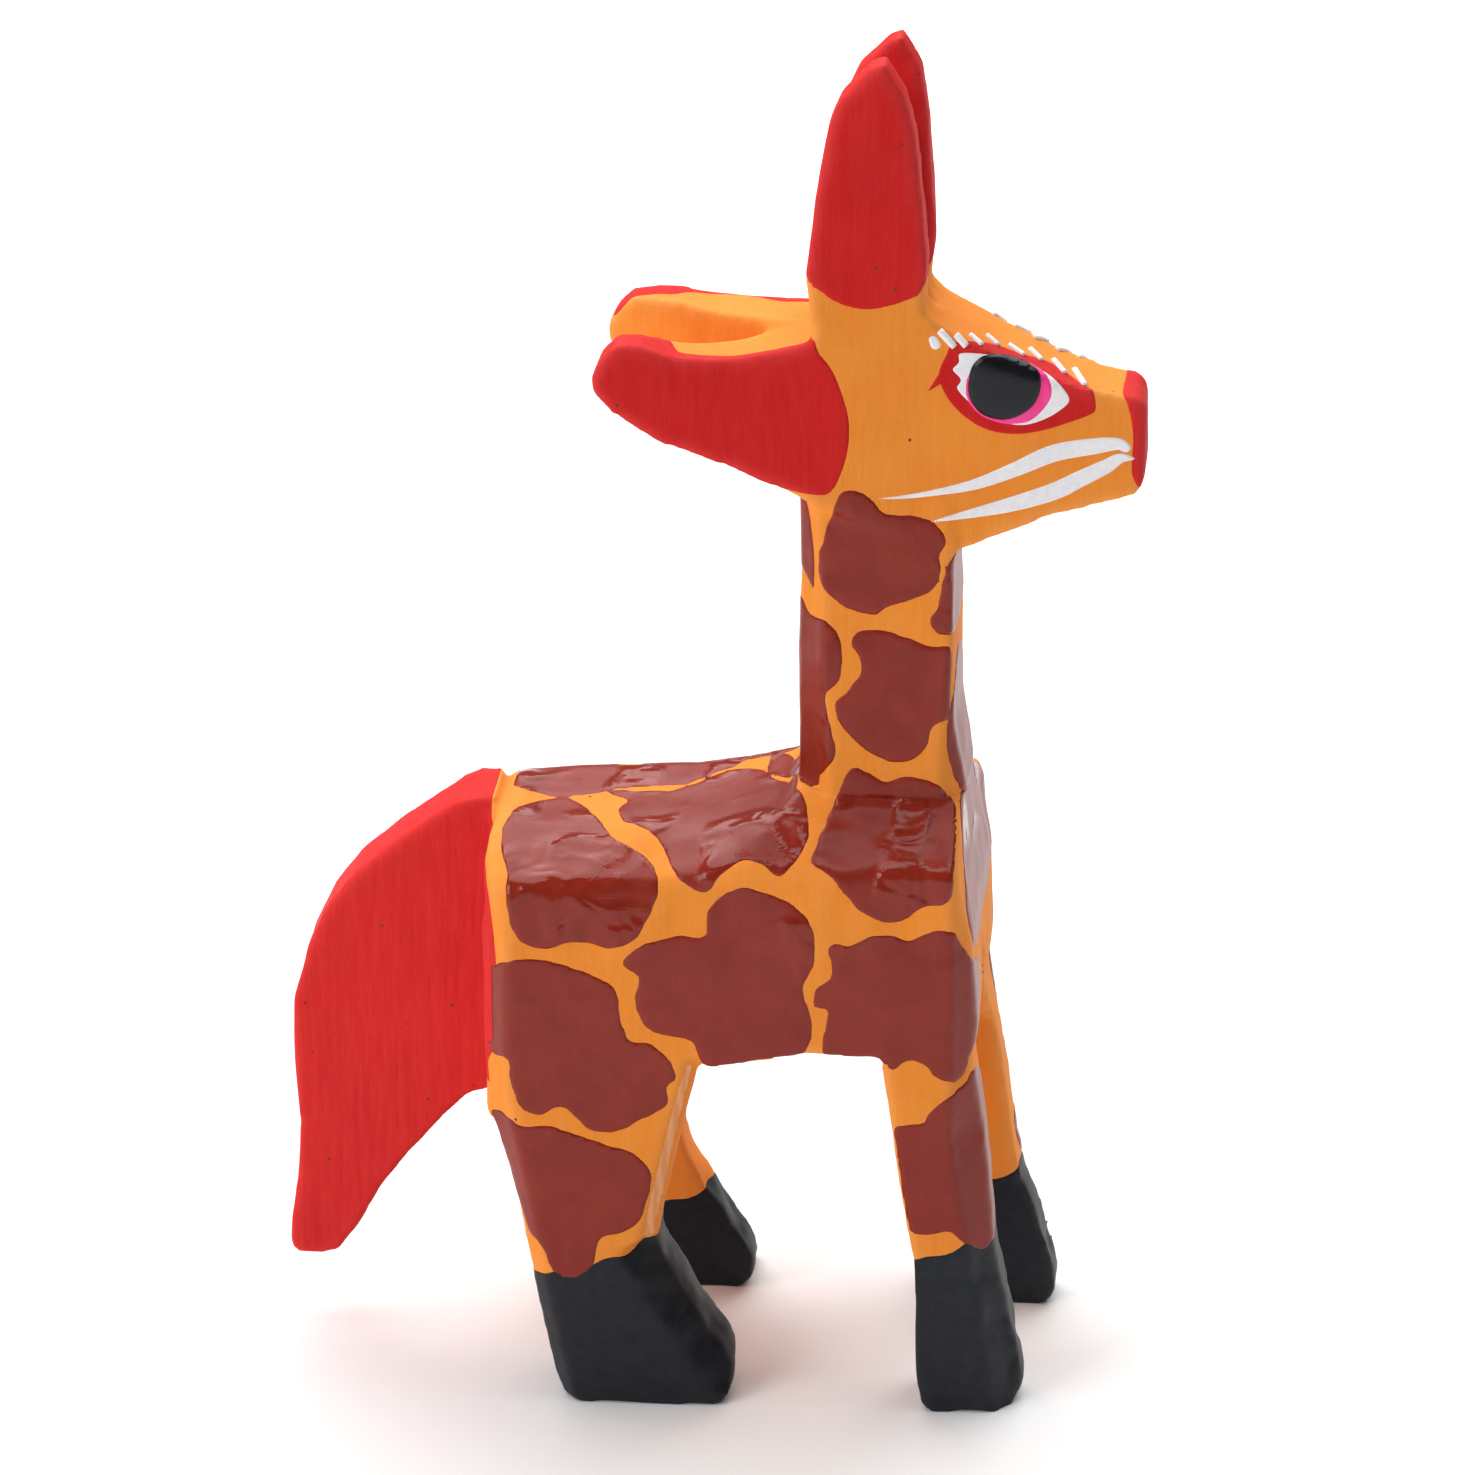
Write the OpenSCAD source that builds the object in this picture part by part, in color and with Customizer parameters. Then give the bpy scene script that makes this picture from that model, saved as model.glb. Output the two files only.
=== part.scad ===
// Small carved and painted wooden giraffe, standing.
// +X is the way it faces, +Z is up, and the ground is at Z = 0.
// Three pieces of wood are glued together: a torso block with its four legs, an upright
// board with the neck, head, ears and horns, and a tail plate. Hidden dowels hold them.

/* [Torso] */
// Length of the torso block from the rump to the chest
torso_l = 43.6; // [38:0.2:52]
// Width across the flanks at the rump
torso_w = 29; // [26:0.5:34]
// How much narrower the right flank comes in at the chest
right_taper = 2.2; // [0:0.1:2.5]
// How much narrower the left flank comes in at the chest
left_taper = 0.2; // [0:0.1:2.5]
// Height of the back above the ground at the rump
back_h = 53.5; // [48:0.5:64]
// Rise from the back at the rump to the flat seat of the neck
seat_rise = 4; // [3:0.5:5]
// Height of the belly above the ground
belly_h = 34.5; // [28:0.5:40]
// Drop from the back to the top of the right flank
right_drop = 2.5; // [1:0.1:5]
// Drop from the back to the top of the left flank
left_drop = 4.7; // [1:0.1:6]
// Width of the flat along the top of the back
back_flat = 11; // [8:0.5:14]
// Width of the cut between the left and right legs
leg_gap = 15; // [12:0.5:16]
// How far that cut stands to the left of the middle
gap_offset = 0.8; // [-1:0.1:1]
// Size of the knife chamfer on the upright corners
corner_cut = 2.4; // [1:0.1:3]

/* [Legs] */
// Width of a hind leg, fore and aft, where it leaves the belly
hind_leg_w = 19; // [17:0.5:20]
// Width of a front leg, fore and aft, where it leaves the belly
front_leg_w = 8.5; // [7.5:0.5:9]
// How far the right front toe stands ahead of the chest
right_toe = 4.2; // [3:0.1:6.5]
// How far the left front toe stands ahead of the chest
left_toe = 6; // [3:0.1:6.5]

/* [Neck and head] */
// Depth of the neck, fore and aft
neck_d = 13.4; // [12:0.2:15]
// How far the throat stands behind the chest
neck_setback = 3.3; // [2.6:0.1:4.2]
// Width of the neck at its foot
neck_w = 12.4; // [10.4:0.2:14]
// Width of the neck under the ears
neck_top_w = 9.6; // [9:0.2:11]
// Height from the seat of the neck to the corner of the jaw
neck_h = 23; // [19:0.5:28]
// How far the muzzle reaches ahead of the neck
muzzle_reach = 16; // [13:0.5:19]
// Height of the head from the jaw corner to the brow
head_h = 21.5; // [19:0.5:25]
// Width of the muzzle at its front
muzzle_w = 6.4; // [5:0.2:8]
// Width of the head across the ear tips
ear_span = 14.8; // [12:0.2:17]
// Length of the ears behind the neck
ear_l = 17.5; // [14:0.5:20]
// Height of the horns above the brow
horn_h = 22.5; // [18:0.5:28]
// Width of a horn, seen from the side
horn_w = 10.4; // [9:0.2:12]
// How far the left horn stands ahead of the right one
horn_lead = 0.9; // [0:0.1:1.5]
// Width of the notch between the horn tips
horn_gap = 3.6; // [2:0.2:4.4]

/* [Tail] */
// How far the tail reaches behind the rump
tail_reach = 19.6; // [16:0.2:24]
// Thickness of the tail plate
tail_t = 6; // [5:0.2:8]
// Height of the tail tip above the ground
tail_tip_h = 7.5; // [5:0.5:12]
// Height of the glued edge of the tail
tail_root_h = 28.5; // [24:0.5:32]

/* [Eyes] */
// Length of the drop of black enamel that makes a pupil
pupil_l = 6.4; // [5:0.1:8]
// Height of that drop
pupil_h = 5.8; // [4:0.1:7]
// How far the drop stands up from the wood
pupil_rise = 0.7; // [0.4:0.1:1]
// How much lower the left eye sits
left_eye_drop = 1.2; // [0:0.1:2]

/* [Joints] */
// Diameter of the two dowels in the foot of the neck
neck_dowel_d = 3; // [2:0.25:4]
// Length of the neck dowels
neck_dowel_l = 18; // [12:1:24]
// Diameter of the two dowels in the root of the tail
tail_dowel_d = 2.5; // [2:0.25:3]
// Length of the tail dowels
tail_dowel_l = 14; // [10:1:18]
// Room for glue round each dowel
glue_room = 0.05; // [0.02:0.01:0.15]

/* [Hidden] */

// The overall box is centred on the origin: tail tip to muzzle along X.
chest_x = (torso_l + tail_reach - muzzle_lead()) / 2;
rump_x = chest_x - torso_l;
seat_z = back_h + seat_rise;
neck_x1 = chest_x - neck_setback;
neck_x0 = neck_x1 - neck_d;
muzzle_x = neck_x1 + muzzle_reach;
jaw_z = seat_z + neck_h;
brow_z = jaw_z + head_h;
horn_z = brow_z + horn_h;
far = 100;
smooth = 96;

orange = "#e68a2e";
red = "#c3232a";
black = "#1c1f24";
bare_wood = "#d9b98a";

// How far the muzzle stands ahead of the chest
function muzzle_lead() = muzzle_reach - neck_setback;

// ---- Torso ---------------------------------------------------------------------

// Where a flank lies at x: side is -1 on the right and 1 on the left
function flank(side, x) =
    side * (torso_w / 2 - (side < 0 ? right_taper : left_taper) * (x - rump_x) / torso_l);

// A leg's points are [share of its width, share of the belly's height]
hind_rear = [[0.00, 0.88], [0.03, 0.81], [0.11, 0.67], [0.17, 0.50], [0.22, 0.36],
             [0.27, 0.20], [0.31, 0.06], [0.36, 0.00]];
hind_front = [[1.09, 0.00], [1.14, 0.03], [1.15, 0.09], [1.11, 0.14], [1.05, 0.18],
              [0.97, 0.26], [0.89, 0.34], [0.83, 0.39], [0.79, 0.45], [0.80, 0.50],
              [0.86, 0.64], [0.93, 0.81], [1.00, 1.00]];
front_rear = [[0.00, 1.00], [0.06, 0.90], [0.18, 0.68], [0.27, 0.55], [0.36, 0.43],
              [0.39, 0.31], [0.40, 0.10], [0.46, 0.02], [0.56, 0.00]];
// The shin's points are [share of the toe's reach, share of the belly's height]
shin = [[0.85, 0.00], [1.00, 0.04], [0.98, 0.12], [0.74, 0.25], [0.50, 0.37], [0.36, 0.47],
        [0.22, 0.65], [0.02, 0.85], [-0.14, 1.00]];

function scaled(points, x, w, h) = [for (p = points) [x + p[0] * w, p[1] * h]];

hind_leg = concat([[rump_x, belly_h + 3]],
                  scaled(hind_rear, rump_x, hind_leg_w, belly_h),
                  scaled(hind_front, rump_x, hind_leg_w, belly_h),
                  [[rump_x + hind_leg_w - 1, belly_h + 3]]);

function front_leg(toe) = concat(
    [[chest_x - front_leg_w + 1, belly_h + 3]],
    scaled(front_rear, chest_x - front_leg_w, front_leg_w, belly_h),
    scaled(shin, chest_x, toe, belly_h),
    [[chest_x - 2, belly_h + 3]]);

trunk = [[rump_x, belly_h * 0.8], [rump_x, back_h - 0.6], [rump_x + 1.2, back_h],
         [rump_x + 0.36 * torso_l, back_h + 0.18 * seat_rise],
         [rump_x + 0.50 * torso_l, back_h + 0.42 * seat_rise],
         [neck_x0 - 1.4, back_h + 0.68 * seat_rise], [neck_x0, seat_z],
         [neck_x1 + 0.8, seat_z], [neck_x1 + 1.4, seat_z - 4.5], [chest_x - 0.9, seat_z - 11],
         [chest_x - 0.4, belly_h + 3.5], [chest_x - 0.6, belly_h + 1],
         [chest_x - front_leg_w, belly_h + 1], [chest_x - 0.35 * torso_l, belly_h + 1.2],
         [chest_x - 0.45 * torso_l, belly_h + 0.4], [rump_x + hind_leg_w, belly_h - 0.4],
         [rump_x + hind_leg_w * 0.9, belly_h * 0.8]];

// Stands a side view upright, from y0 to y1
module side_view(points, y0, y1) {
    translate([0, y1, 0])
        rotate([90, 0, 0])
            linear_extrude(y1 - y0)
                polygon(points);
}

// The torso seen from above, closing in from the rump to the chest
module plan_of_torso() {
    x0 = rump_x - far;
    x1 = chest_x + far;
    polygon([[x0, flank(-1, x0)], [x1, flank(-1, x1)], [x1, flank(1, x1)], [x0, flank(1, x0)]]);
}

// A long square bar turned on its corner, along an outer edge from a to b in the side view
module knife_cut(a, b, side, size) {
    mid = (a + b) / 2;
    lean = atan2(b[0] - a[0], b[1] - a[1]);
    bar = size * sqrt(2);
    translate([mid[0], flank(side, mid[0]), mid[1]])
        rotate([0, lean, 0])
            rotate([0, 0, 45])
                cube([bar, bar, norm(b - a) + size], center = true);
}

// The gap between the legs, with a knife-cut peak that runs out under the chest
module between_legs() {
    half = leg_gap / 2;
    translate([-far, gap_offset, 0])
        rotate([90, 0, 90])
            linear_extrude(2 * far)
                polygon([[-half, -far], [half, -far], [half - 0.5, belly_h - 5],
                         [half - 2.5, belly_h - 1.2], [0, belly_h - 0.4],
                         [2.5 - half, belly_h - 1.2], [0.5 - half, belly_h - 5]]);
    translate([chest_x, gap_offset, belly_h + 8])
        rotate([0, -34, 0])
            rotate([90, 0, 90])
                linear_extrude(2 * front_leg_w, center = true)
                    polygon([[0, 0], [-2.6, -4], [0.5 - half, -16], [half - 0.5, -16], [2.6, -4]]);
}

// Stations along the trunk: [x, height of the back, rise of the flank tops since the rump]
stations = [[rump_x - 1, back_h, 0], [rump_x + 0.38 * torso_l, back_h + 0.3 * seat_rise, 1.1],
            [neck_x0, seat_z, 2.1], [chest_x + 1, seat_z, 2.6]];
ring = 6;

// The point where a facet from the back, run on past the flank top, reaches out to torso_w
function facet_end(x, side, top, flank_top) =
    let (slope = (top - flank_top) / (abs(flank(side, x)) - back_flat / 2))
    [x, side * torso_w, top - slope * (torso_w - back_flat / 2)];

// The trunk's outline across at a station: the flat of the back with a facet on each side
function across(station) =
    let (x = station[0], top = station[1], rise = station[2])
    [[x, -torso_w, 1], facet_end(x, -1, top, back_h - right_drop + rise),
     [x, -back_flat / 2, top], [x, back_flat / 2, top],
     facet_end(x, 1, top, back_h - left_drop + 1.2 * rise), [x, torso_w, 1]];

// The outlines joined up from the rump to the chest
module faceted_trunk() {
    last = len(stations) - 1;
    sides = [for (i = [0 : last - 1], j = [0 : ring - 1])
        let (a = i * ring + j, b = i * ring + (j + 1) % ring)
        each [[a, b, b + ring], [a, b + ring, a + ring]]];
    ends = [[for (j = [0 : ring - 1]) ring - 1 - j], [for (j = [0 : ring - 1]) last * ring + j]];
    polyhedron([for (s = stations) each across(s)], concat(sides, ends));
}

module legs() {
    inner = leg_gap / 2 - 1.5;
    for (side = [-1, 1]) {
        y0 = side < 0 ? -torso_w : inner;
        side_view(hind_leg, y0, y0 + torso_w - inner);
        side_view(front_leg(side < 0 ? right_toe : left_toe), y0, y0 + torso_w - inner);
    }
}

module upright_corners() {
    hoof_top = 0.45 * belly_h;
    for (side = [-1, 1]) {
        toe = side < 0 ? right_toe : left_toe;
        knife_cut([rump_x, belly_h * 0.85], [rump_x, seat_z], side, corner_cut);
        knife_cut([rump_x + 0.31 * hind_leg_w, 0], [rump_x, belly_h * 0.88], side, corner_cut);
        knife_cut([chest_x, belly_h * 0.8], [chest_x, seat_z], side, corner_cut);
        knife_cut([chest_x + toe, 0], [chest_x, belly_h * 0.8], side, corner_cut);
        knife_cut([rump_x + 1.15 * hind_leg_w, 0.09 * belly_h],
                  [rump_x + 0.77 * hind_leg_w, hoof_top], side, corner_cut);
        knife_cut([rump_x + 0.77 * hind_leg_w, hoof_top],
                  [rump_x + hind_leg_w, belly_h], side, corner_cut / 2);
    }
}

module neck_dowel_holes() {
    for (x = [front_dowel_x, rear_dowel_x])
        translate([x, 0, seat_z])
            cylinder(h = neck_dowel_l, d = neck_dowel_d + 2 * glue_room, center = true, $fn = smooth);
}

module tail_dowel_holes() {
    for (z = [upper_dowel_z, lower_dowel_z])
        translate([rump_x, 0, z])
            rotate([0, 90, 0])
                cylinder(h = tail_dowel_l, d = tail_dowel_d + 2 * glue_room, center = true,
                         $fn = smooth);
}

module torso() {
    color(orange)
        difference() {
            intersection() {
                union() {
                    intersection() {
                        side_view(trunk, -torso_w, torso_w);
                        faceted_trunk();
                    }
                    legs();
                }
                translate([0, 0, -1])
                    linear_extrude(far)
                        plan_of_torso();
            }
            between_legs();
            upright_corners();
            neck_dowel_holes();
            tail_dowel_holes();
        }
}

// ---- Neck and head -------------------------------------------------------------

front_dowel_x = neck_x1 - neck_d / 4;
rear_dowel_x = neck_x0 + neck_d / 4;

neck_side = [[neck_x0, seat_z], [neck_x0, jaw_z - 3], [neck_x0 - 1, jaw_z + 4],
             [neck_x0 + 4, brow_z - 10],
             [neck_x1 - 2, brow_z - 10], [neck_x1, jaw_z], [neck_x1 + 0.3, seat_z + 7],
             [neck_x1 + 1.4, seat_z]];

// The ear's points are [share of its length, share of the head's height], from the nape.
// The top edge comes after them, and dips a little on the right ear.
ear = [[0.08, 0.20], [-0.06, 0.26], [-0.24, 0.33], [-0.38, 0.38], [-0.55, 0.43], [-0.66, 0.46],
       [-0.80, 0.53], [-0.90, 0.59], [-0.99, 0.67], [-1.00, 0.74], [-0.95, 0.82]];
function ear_top(dip) = [[-0.87, 0.88], [-0.76, 0.89 - dip / 3], [-0.62, 0.89 - dip],
                         [-0.48, 0.88 - dip], [-0.32, 0.88 - dip], [-0.12, 0.88 - dip / 2],
                         [0.04, 0.88]];
// The horn's points are [share of its width, share of its height], from its rear foot
horn = [[0.06, -0.10], [0.00, 0.16], [0.04, 0.32], [0.10, 0.56], [0.18, 0.76], [0.28, 0.87],
        [0.52, 0.99], [0.62, 1.00], [0.78, 0.88], [0.86, 0.72], [0.92, 0.50], [0.97, 0.25],
        [0.96, 0.02]];
// The face's points are [share of the muzzle's reach, share of the head's height]
face = [[-0.09, 0.97], [0.18, 0.86], [0.56, 0.73], [0.72, 0.70], [0.96, 0.66], [1.00, 0.62],
        [1.00, 0.32], [0.97, 0.26], [0.85, 0.23], [0.50, 0.16], [0.14, 0.04], [0.00, 0.00]];

horn_x = neck_x0 + 0.6;

// A side view of the head: the left horn stands ahead, and the right ear dips
function head_side(side) = concat(
    [for (p = ear) [neck_x0 + p[0] * ear_l, jaw_z + p[1] * head_h]],
    [for (p = ear_top(side < 0 ? 0.06 : 0)) [neck_x0 + p[0] * ear_l, jaw_z + p[1] * head_h]],
    [for (p = horn) [horn_x + p[0] * horn_w + (side > 0 ? horn_lead * p[1] : 0),
                     brow_z + p[1] * horn_h]],
    [for (p = face) [neck_x1 + p[0] * muzzle_reach, jaw_z + p[1] * head_h]]);

// Half the head's width at x: a wedge from the ear tips to the muzzle
ear_tip_x = neck_x0 - ear_l;
function cheek(x) = muzzle_w / 2 + (ear_span - muzzle_w) / 2 * (muzzle_x - x) / (muzzle_x - ear_tip_x);
cheek_angle = atan2((ear_span - muzzle_w) / 2, muzzle_x - ear_tip_x);

module head_from_above() {
    x0 = ear_tip_x - 5;
    x1 = muzzle_x + 5;
    polygon([[x0, -cheek(x0)], [x1, -cheek(x1)], [x1, cheek(x1)], [x0, cheek(x0)]]);
}

// The neck seen from above, with its corners cut off, wider at the back
module neck_from_above() {
    half = neck_w / 2;
    polygon([[neck_x0, -half + 3], [neck_x0 + 3, -half], [neck_x1 - 1, -half],
             [neck_x1 + 2, -half + 3], [neck_x1 + 2, half - 3], [neck_x1 - 1, half],
             [neck_x0 + 3, half], [neck_x0, half - 3]]);
}

module neck_from_front() {
    polygon([[-neck_w / 2, seat_z], [neck_w / 2, seat_z],
             [neck_top_w / 2, jaw_z + 6], [-neck_top_w / 2, jaw_z + 6]]);
}

module neck() {
    intersection() {
        side_view(neck_side, -neck_w, neck_w);
        translate([0, 0, seat_z])
            linear_extrude(far)
                neck_from_above();
        translate([-far, 0, 0])
            rotate([90, 0, 90])
                linear_extrude(2 * far)
                    neck_from_front();
    }
}

// The knife cut that parts the two ears
module between_ears() {
    translate([0, 0, jaw_z])
        linear_extrude(far)
            polygon([[neck_x0 - 2.4, 0], [ear_tip_x - 2, -ear_span / 2 + 2.2],
                     [ear_tip_x - 2, ear_span / 2 - 2.2]]);
}

// The notch that parts the two horns
module between_horns() {
    foot = brow_z - 0.5;
    half = horn_gap / 2;
    translate([-far, 0, 0])
        rotate([90, 0, 90])
            linear_extrude(2 * far)
                polygon([[-0.4, foot], [0.4, foot], [half + 0.6, horn_z + 1],
                         [-half - 0.6, horn_z + 1]]);
}

// The outer faces of the horns lean in towards their tips
module horn_lean() {
    half = cheek(horn_x + horn_w / 2);
    translate([-far, 0, 0])
        rotate([90, 0, 90])
            linear_extrude(2 * far)
                polygon([[-far, 0], [far, 0], [far, brow_z + 2], [half + 0.8, brow_z + 2],
                         [half - 0.3, horn_z + 1], [-half + 0.3, horn_z + 1],
                         [-half - 0.8, brow_z + 2], [-far, brow_z + 2]]);
}

module head() {
    difference() {
        intersection() {
            union() {
                side_view(head_side(-1), -ear_span, 0);
                side_view(head_side(1), 0, ear_span);
            }
            translate([0, 0, jaw_z - 5])
                linear_extrude(far)
                    head_from_above();
            horn_lean();
        }
        between_ears();
        between_horns();
    }
}

module neck_and_head() {
    color(orange)
        difference() {
            union() {
                neck();
                head();
            }
            neck_dowel_holes();
        }
}

// ---- Tail ----------------------------------------------------------------------

tail_top = back_h + 0.6;
upper_dowel_z = tail_top - 0.22 * tail_root_h;
lower_dowel_z = tail_top - 0.5 * tail_root_h;

// The crown's points are [share of the reach, share of the height from tip to top]
crown = [[0.00, 1.000], [0.17, 0.985], [0.30, 0.955], [0.46, 0.905], [0.65, 0.832],
         [0.78, 0.760], [0.88, 0.670], [0.95, 0.555], [0.955, 0.420], [0.94, 0.290],
         [0.96, 0.160], [0.99, 0.065], [1.00, 0.020], [0.97, 0.000], [0.84, 0.000],
         [0.78, 0.010], [0.73, 0.040], [0.59, 0.140], [0.44, 0.230], [0.27, 0.320],
         [0.15, 0.370]];
tail_side = concat(
    [for (p = crown) [rump_x - p[0] * tail_reach, tail_tip_h + p[1] * (tail_top - tail_tip_h)]],
    [[rump_x, tail_top - tail_root_h]]);

module tail() {
    color(red)
        difference() {
            side_view(tail_side, -tail_t / 2, tail_t / 2);
            tail_dowel_holes();
        }
}

// ---- Dowels --------------------------------------------------------------------

module neck_dowel(x) {
    color(bare_wood)
        translate([x, 0, seat_z])
            cylinder(h = neck_dowel_l, d = neck_dowel_d, center = true, $fn = smooth);
}

module tail_dowel(z) {
    color(bare_wood)
        translate([rump_x, 0, z])
            rotate([0, 90, 0])
                cylinder(h = tail_dowel_l, d = tail_dowel_d, center = true, $fn = smooth);
}

module front_neck_dowel() { neck_dowel(front_dowel_x); }
module rear_neck_dowel() { neck_dowel(rear_dowel_x); }
module upper_tail_dowel() { tail_dowel(upper_dowel_z); }
module lower_tail_dowel() { tail_dowel(lower_dowel_z); }

// ---- Eyes ----------------------------------------------------------------------

eye_x = neck_x1 + 0.25 * muzzle_reach;
eye_z = jaw_z + 0.715 * head_h;

// A domed drop with a flat back, lying on the slanted cheek
module pupil(side) {
    color(black)
        translate([eye_x, side * cheek(eye_x), eye_z - (side > 0 ? left_eye_drop : 0)])
            rotate([0, 8, 0])
                rotate([0, 0, -side * cheek_angle])
                    rotate([-side * 90, 0, 0])
                        intersection() {
                            scale([pupil_l / 2, pupil_h / 2, pupil_rise])
                                sphere(1, $fn = 48);
                            translate([-pupil_l, -pupil_l, 0])
                                cube([2 * pupil_l, 2 * pupil_l, pupil_l]);
                        }
}

module right_pupil() { pupil(-1); }
module left_pupil() { pupil(1); }

torso();
neck_and_head();
tail();
front_neck_dowel();
rear_neck_dowel();
upper_tail_dowel();
lower_tail_dowel();
right_pupil();
left_pupil();
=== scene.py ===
import bmesh
import bpy
import numpy as np
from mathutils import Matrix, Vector, noise
from mathutils.bvhtree import BVHTree


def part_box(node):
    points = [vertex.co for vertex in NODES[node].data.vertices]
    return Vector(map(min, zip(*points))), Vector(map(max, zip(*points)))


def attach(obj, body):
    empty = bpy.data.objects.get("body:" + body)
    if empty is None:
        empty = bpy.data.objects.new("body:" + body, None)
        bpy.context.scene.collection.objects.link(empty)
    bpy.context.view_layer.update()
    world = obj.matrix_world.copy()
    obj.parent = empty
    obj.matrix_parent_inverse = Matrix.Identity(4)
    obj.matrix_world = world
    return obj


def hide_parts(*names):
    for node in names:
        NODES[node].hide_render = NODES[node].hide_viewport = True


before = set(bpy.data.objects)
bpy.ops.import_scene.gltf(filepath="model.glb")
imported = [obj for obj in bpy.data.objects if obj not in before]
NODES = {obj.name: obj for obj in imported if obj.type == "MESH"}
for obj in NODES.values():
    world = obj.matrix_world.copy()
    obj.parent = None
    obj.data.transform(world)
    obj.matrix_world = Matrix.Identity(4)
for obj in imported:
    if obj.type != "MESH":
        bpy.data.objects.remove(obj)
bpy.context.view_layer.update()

MM = 0.001

# A painter's outlines are given in millimetres on an upright plane beside the giraffe. They are
# carried onto the wood along straight lines that meet at this point, in front of its right side.
STATION = np.array([59.6, -540.8, 313.6])

# ---- Sizes of the carving, in millimetres ----------------------------------------

VOXEL = 0.4          # fineness of the carved skin
EASING = 3           # rounds of sanding on the knife-cut edges
FOLD_ROUNDS = 70     # rounds on the fold at the top of the right flank, which is worn round
TAIL_RISE = 0.5      # see fit_the_tail
TAIL_FLARE = 1.6
CORNER_DROP = 0.7
LASH_RADIUS = 0.31
FILMS = {"bare": 0.02, "tail_red": 0.05, "red": 0.06, "hoof": 0.06, "brown": 0.08,
         "white": 0.1, "pink": 0.13}      # how thick each paint lies
SEAT_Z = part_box("neck_and_head")[0].z / MM
RUMP_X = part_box("tail")[1].x / MM
MUZZLE_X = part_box("neck_and_head")[1].x / MM
SEAM = 0.3           # how far outside the torso a seam is cut, clear of its wavy surface
BROAD_ROUNDS = 8     # rounds of averaging that make normals blind to marks under a millimetre
SHARP_BULGE = 0.05   # how far a point stands proud of its neighbours on an edge that rubs pale


# ---- Wood ------------------------------------------------------------------------

def plain_mesh(name, verts, faces):
    """A mesh object whose points are given in millimetres."""
    mesh = bpy.data.meshes.new(name)
    mesh.from_pydata((np.asarray(verts, float) * MM).tolist(), [], faces)
    mesh.update()
    obj = bpy.data.objects.new(name, mesh)
    bpy.context.scene.collection.objects.link(obj)
    return obj


def arrays(mesh, scale=1.0):
    """Points, triangles and edges of a mesh as arrays."""
    mesh.calc_loop_triangles()
    co = np.empty(len(mesh.vertices) * 3)
    mesh.vertices.foreach_get("co", co)
    tri = np.empty(len(mesh.loop_triangles) * 3, int)
    mesh.loop_triangles.foreach_get("vertices", tri)
    edge = np.empty(len(mesh.edges) * 2, int)
    mesh.edges.foreach_get("vertices", edge)
    return co.reshape(-1, 3) * scale, tri.reshape(-1, 3), edge.reshape(-1, 2)


def spread(values, index, count):
    """Sums rows of values into count places."""
    return np.stack([np.bincount(index, values[:, k], count) for k in range(values.shape[1])], 1)


def neighbour_mean(co, edge):
    """For each point, the mean of the points it is joined to."""
    a, b = edge.T
    total = spread(co[b], a, len(co)) + spread(co[a], b, len(co))
    count = np.bincount(edge.ravel(), minlength=len(co))
    return total / np.maximum(count, 1)[:, None]


def normals(co, tri):
    """Unit normals at the points, weighted by the area of the faces round them."""
    face = np.cross(co[tri[:, 1]] - co[tri[:, 0]], co[tri[:, 2]] - co[tri[:, 0]])
    total = sum(spread(face, tri[:, k], len(co)) for k in range(3))
    return total / np.maximum(np.linalg.norm(total, axis=1), 1e-12)[:, None]


def eased_normals(nor, edge):
    """Unit normals averaged over about a millimetre, so that small marks don't turn them."""
    for _ in range(BROAD_ROUNDS):
        nor = neighbour_mean(nor, edge)
    return nor / np.linalg.norm(nor, axis=1)[:, None]


def step(values, low, high):
    """A smooth step from 0 at low to 1 at high."""
    t = np.clip((values - low) / (high - low), 0, 1)
    return t * t * (3 - 2 * t)


def lumps(co, size, seed):
    """Smooth random lumps of that size in millimetres, from about -1 to 1."""
    scaled = co / size + seed * 17.3
    return np.array([noise.noise(Vector(p)) for p in scaled.tolist()]) * 2


def whittled():
    """The three glued pieces of wood as one closed skin, with sanded edges and knife marks."""
    joined = bmesh.new()
    for name in ("torso", "neck_and_head", "tail"):
        copy = bmesh.new()
        copy.from_mesh(NODES[name].data)
        bmesh.ops.remove_doubles(copy, verts=copy.verts, dist=1e-6)
        bmesh.ops.scale(copy, vec=(1 / MM, 1 / MM, 1 / MM), verts=copy.verts)
        merged = bpy.data.meshes.new("merged")
        copy.to_mesh(merged)
        copy.free()
        joined.from_mesh(merged)
        bpy.data.meshes.remove(merged)
    block = bpy.data.meshes.new("block")
    joined.to_mesh(block)
    joined.free()
    obj = bpy.data.objects.new("block", block)
    bpy.context.scene.collection.objects.link(obj)
    remesh = obj.modifiers.new("skin", "REMESH")
    remesh.mode = "VOXEL"
    remesh.voxel_size = VOXEL
    graph = bpy.context.evaluated_depsgraph_get()
    skin = bpy.data.meshes.new_from_object(obj.evaluated_get(graph))
    bpy.data.objects.remove(obj)
    co, tri, edge = arrays(skin)
    for _ in range(EASING):
        co += 0.5 * (neighbour_mean(co, edge) - co)
    fit_the_tail(co)
    easing = worn_round(co)[:, None]
    for _ in range(FOLD_ROUNDS):
        co += 0.5 * easing * (neighbour_mean(co, edge) - co)
    nor = normals(co, tri)
    co += nor * knife_marks(co, eased_normals(nor, edge))[:, None]
    co += 0.5 * (neighbour_mean(co, edge) - co)
    skin.vertices.foreach_set("co", co.ravel())
    skin.update()
    return skin


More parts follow.
